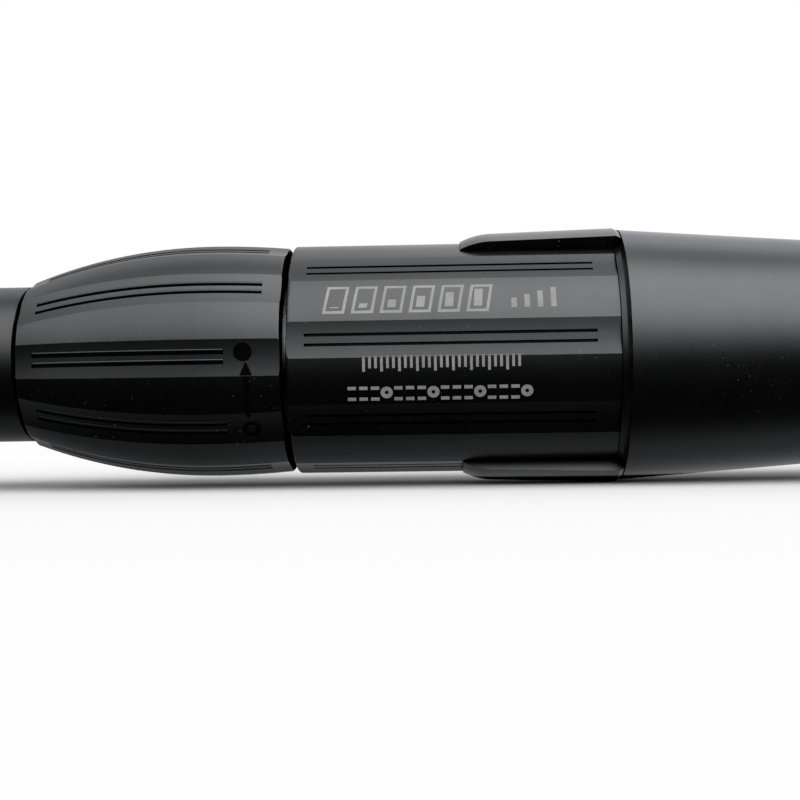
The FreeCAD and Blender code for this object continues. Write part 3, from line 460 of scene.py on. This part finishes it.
class MarkSheet:
    """Thin marks laid on a skin, built in one mesh.

    A mark is drawn on a flat sheet: station along the axis and height round the casing.
    """

    STEP = 0.2 * MM         # longest side of a cell
    LIFT = 0.006 * MM       # the top's height over the skin
    ROOT = -0.03 * MM       # the underside's height, sunk into the skin
    LIP_ROWS = 8
    WELD = 1e-7

    def __init__(self, skin, centre_angle):
        self.mesh = bmesh.new()
        self.skin = skin
        self.centre_angle = centre_angle

    def patch(self, place, across, along, rows=None, rise=lambda v: 0.0):
        """A closed slab over a grid: place(u, v) gives (station, height) for u and v from 0 to 1."""
        columns = max(1, math.ceil(across / self.STEP))
        rows = rows or max(1, math.ceil(along / self.STEP))
        top = [[None] * (rows + 1) for column in range(columns + 1)]
        bottom = [[None] * (rows + 1) for column in range(columns + 1)]
        for i in range(columns + 1):
            for j in range(rows + 1):
                station, height = place(i / columns, j / rows)
                angle = self.centre_angle + height / self.skin.radius(station, self.centre_angle)
                radius = self.skin.radius(station, angle)
                lift = self.LIFT + rise(j / rows)
                top[i][j] = self.mesh.verts.new(wrap(station, angle, radius + lift))
                bottom[i][j] = self.mesh.verts.new(wrap(station, angle, radius + self.ROOT))
        for i in range(columns):
            for j in range(rows):
                self.mesh.faces.new((top[i][j], top[i + 1][j], top[i + 1][j + 1], top[i][j + 1]))
                self.mesh.faces.new((bottom[i][j], bottom[i][j + 1], bottom[i + 1][j + 1],
                                     bottom[i + 1][j]))
        edge = [(i, 0) for i in range(columns)] + [(columns, j) for j in range(rows)]
        edge += [(i, rows) for i in range(columns, 0, -1)] + [(0, j) for j in range(rows, 0, -1)]
        for (a, b), (c, d) in zip(edge, edge[1:] + edge[:1]):
            self.mesh.faces.new((top[a][b], bottom[a][b], bottom[c][d], top[c][d]))

    def quad(self, corners):
        """A four-sided mark; the corners are (station, height), in order round it."""
        a, b, c, d = [Vector(item) for item in corners]

        def place(u, v):
            return tuple(a.lerp(b, u).lerp(d.lerp(c, u), v))
        self.patch(place, max((b - a).length, (c - d).length), max((d - a).length, (c - b).length))

    def bar(self, front, rear, low, high, lean=0.0):
        """A bar whose top is shifted rearwards by its lean."""
        self.quad([(front, low), (rear, low), (rear + lean, high), (front + lean, high)])

    def ring(self, station, height, inner, outer):
        """A ring, or a dot where inner is tiny."""
        def place(u, v):
            radius = inner + (outer - inner) * v
            turn = 2 * math.pi * u
            return station + radius * math.cos(turn), height + radius * math.sin(turn)
        self.patch(place, 2 * math.pi * outer, outer - inner)

    def outline(self, front, rear, low, high, lean, line):
        """The border of a leaning bar, drawn with a line of this width."""
        slope = lean / (high - low)
        self.bar(front, rear, low, low + line, slope * line)
        top = high - line
        shift = slope * (top - low)
        self.bar(front + shift, rear + shift, top, high, slope * line)
        inner = slope * line
        self.bar(front + inner, front + inner + line, low + line, top, slope * (top - low - line))
        self.bar(rear + inner - line, rear + inner, low + line, top, slope * (top - low - line))

    def lip(self, front, rear, height, width, rise):
        """A low half-round ridge along the axis."""
        def place(u, v):
            return front + (rear - front) * u, height + width * (v - 0.5)
        self.patch(place, rear - front, width, self.LIP_ROWS, lambda v: rise * 4 * v * (1 - v))

    def arrow(self, station, low, high, line, head):
        """A double-headed arrow that runs round the casing."""
        self.bar(station - line / 2, station + line / 2, low + head, high - head)
        self.quad([(station - head / 2, high - head), (station + head / 2, high - head),
                   (station + line / 8, high), (station - line / 8, high)])
        self.quad([(station - line / 8, low), (station + line / 8, low),
                   (station + head / 2, low + head), (station - head / 2, low + head)])

    def finish(self, name, body, material):
        """Turn the sheet into a piece that rides this body."""
        bmesh.ops.remove_doubles(self.mesh, verts=self.mesh.verts, dist=self.WELD)
        bmesh.ops.recalc_face_normals(self.mesh, faces=self.mesh.faces)
        mesh = bpy.data.meshes.new(name)
        self.mesh.to_mesh(mesh)
        self.mesh.free()
        mesh.materials.append(material)
        piece = bpy.data.objects.new(name, mesh)
        bpy.context.scene.collection.objects.link(piece)
        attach(piece, body)
        return piece


# Gauge: leaning frames, each filled a little higher than the one before, then rising bars.
GAUGE_ANGLE = math.radians(27.6)
GAUGE_START = 3.7 * MM
FRAMES = 6
FRAME_PITCH = 2.92 * MM
FRAME_WIDTH = 2.25 * MM
FRAME_HALF = 1.6 * MM
FRAME_LEAN = 0.5 * MM
FRAME_LINE = 0.3 * MM
FILL_FRONT = 0.75 * MM
FILL_REAR = 1.6 * MM
FILL_FOOT = 0.62 * MM
FILL_FIRST = 0.75 * MM
FILL_RISE = 0.38 * MM
FILL_LEAN = 0.12 * MM
BARS = 4
BAR_START = 22.85 * MM
BAR_PITCH = 1.33 * MM
BAR_WIDTH = 0.55 * MM
BAR_FOOT = -1.2 * MM
BAR_FIRST = -0.1 * MM
BAR_RISE = 0.4 * MM

# Ticks: every third one is long.
TICK_ANGLE = math.radians(-4.0)
TICK_START = 7.75 * MM
TICKS = 27
TICK_GROUP = 3
TICK_PITCH = 0.602 * MM
TICK_WIDTH = 0.28 * MM
TICK_TOP = 0.78 * MM
TICK_LONG = -0.78 * MM
TICK_SHORT = -0.45 * MM

# Dashes: two rows, with a ring in every fourth place.
DASH_ANGLE = math.radians(-17.7)
DASH_START = 6.2 * MM
DASHES = 16
DASH_GROUP = 4
DASH_PITCH = 1.178 * MM
DASH_LENGTH = 0.85 * MM
DASH_ROWS = ((-0.85 * MM, -0.5 * MM), (0.3 * MM, 0.65 * MM))
DASH_RING_PLACE = 0.42 * MM
DASH_RING_INNER = 0.2 * MM
DASH_RING_OUTER = 0.62 * MM


def body_marks(material):
    """Generic etched graphics on the grip: a gauge, a row of ticks and two rows of dashes."""
    skin = Skin("body_shell")

    gauge = MarkSheet(skin, GAUGE_ANGLE)
    for index in range(FRAMES):
        front = body_front + GAUGE_START + index * FRAME_PITCH
        gauge.outline(front, front + FRAME_WIDTH, -FRAME_HALF, FRAME_HALF, FRAME_LEAN, FRAME_LINE)
        level = -FRAME_HALF + FILL_FIRST + index * FILL_RISE
        gauge.bar(front + FILL_FRONT, front + FILL_REAR, -FRAME_HALF + FILL_FOOT, level, FILL_LEAN)
    for index in range(BARS):
        front = body_front + BAR_START + index * BAR_PITCH
        gauge.bar(front, front + BAR_WIDTH, BAR_FOOT, BAR_FIRST + index * BAR_RISE)
    gauge.finish("etched_gauge", "handpiece", material)

    ticks = MarkSheet(skin, TICK_ANGLE)
    for index in range(TICKS):
        front = body_front + TICK_START + index * TICK_PITCH
        low = TICK_SHORT if index % TICK_GROUP else TICK_LONG
        ticks.bar(front, front + TICK_WIDTH, low, TICK_TOP)
    ticks.finish("etched_ticks", "handpiece", material)

    dashes = MarkSheet(skin, DASH_ANGLE)
    for index in range(DASHES):
        front = body_front + DASH_START + index * DASH_PITCH
        if index % DASH_GROUP == DASH_GROUP - 1:
            dashes.ring(front + DASH_RING_PLACE, 0.0, DASH_RING_INNER, DASH_RING_OUTER)
        else:
            for low, high in DASH_ROWS:
                dashes.bar(front, front + DASH_LENGTH, low, high)
    dashes.finish("etched_dashes", "handpiece", material)


# Stations of the ring's symbols are measured from a row before the ring's rear end. Their angles
# are elevations in degrees.
SYMBOL_ROW = 3.7 * MM
SYMBOL_RADIUS = 0.95 * MM
DOT_ANGLE = 2.6
DOT_HOLE = 0.01 * MM
ARROW_PLACE = 0.3 * MM
ARROW_LOW = -30.0
ARROW_HIGH = -2.4
ARROW_LINE = 0.55 * MM
ARROW_HEAD = 1.4 * MM
OPEN_PLACE = 0.5 * MM
OPEN_ANGLE = -36.5
OPEN_HOLE = 0.5 * MM


def ring_marks(skin, material):
    """Where the ring stops: a dot when it's locked and an open ring when the tool is free."""
    row = ring_rear - SYMBOL_ROW
    sheet = MarkSheet(skin, 0.0)
    round_radius = skin.radius(row, 0.0)

    def height(degrees):
        return math.radians(degrees) * round_radius
    sheet.ring(row, height(DOT_ANGLE), DOT_HOLE, SYMBOL_RADIUS)
    sheet.arrow(row + ARROW_PLACE, height(ARROW_LOW), height(ARROW_HIGH), ARROW_LINE, ARROW_HEAD)
    sheet.ring(row + OPEN_PLACE, height(OPEN_ANGLE), OPEN_HOLE, SYMBOL_RADIUS)
    sheet.finish("ring_marks", "twist_ring", material)


# Grooves are shorter in the flutes that carry the symbols.
RING_FLUTES = 10
SYMBOL_FLUTES = (0, 9)
LIP_FRONT = 1.95 * MM
LIP_REAR = 2.0 * MM
LIP_REAR_SHORT = 5.7 * MM
LIP_HEIGHTS = (0.79 * MM, -0.23 * MM)
LIP_WIDTH = 0.22 * MM
LIP_RISE = 0.045 * MM


def groove_lips(skin, material):
    """The low lip beside each fine groove of the ring."""
    front = ring_front + LIP_FRONT
    for index in range(RING_FLUTES):
        rear = ring_rear - (LIP_REAR_SHORT if index in SYMBOL_FLUTES else LIP_REAR)
        sheet = MarkSheet(skin, 2 * math.pi * index / RING_FLUTES)
        for height in LIP_HEIGHTS:
            sheet.lip(front, rear, height, LIP_WIDTH, LIP_RISE)
        piece = sheet.finish(f"groove_lips_{index + 1}", "twist_ring", material)
        for face in piece.data.polygons:
            face.use_smooth = True


ETCHING_LEVEL = 0.135
# Painted shade: the ring's engraved symbols are black sheets that hardly reflect, standing in for the shade
# inside the engraving.
ENGRAVING_SHADE_BLACK = (0.0003, 0.0003, 0.0003)


def main():
    bpy.context.scene.view_settings.view_transform = "Standard"
    make_camera()
    make_sky()
    make_floor()
    materials = make_materials()
    dress_nodes(materials)
    body_marks(etched_grey("etching", ETCHING_LEVEL))
    ring_skin = Skin("chuck_ring")
    # The symbols' sheets carry painted shade: black and almost without reflection, in place of shaded
    # engraved recesses.
    engraving_shade = dull_solid("engraving_shade", ENGRAVING_SHADE_BLACK, 0.7, 0.1 * MM, 0.004 * MM, specular=0.02)
    ring_marks(ring_skin, engraving_shade)
    groove_lips(ring_skin, materials["ring_black"])


main()
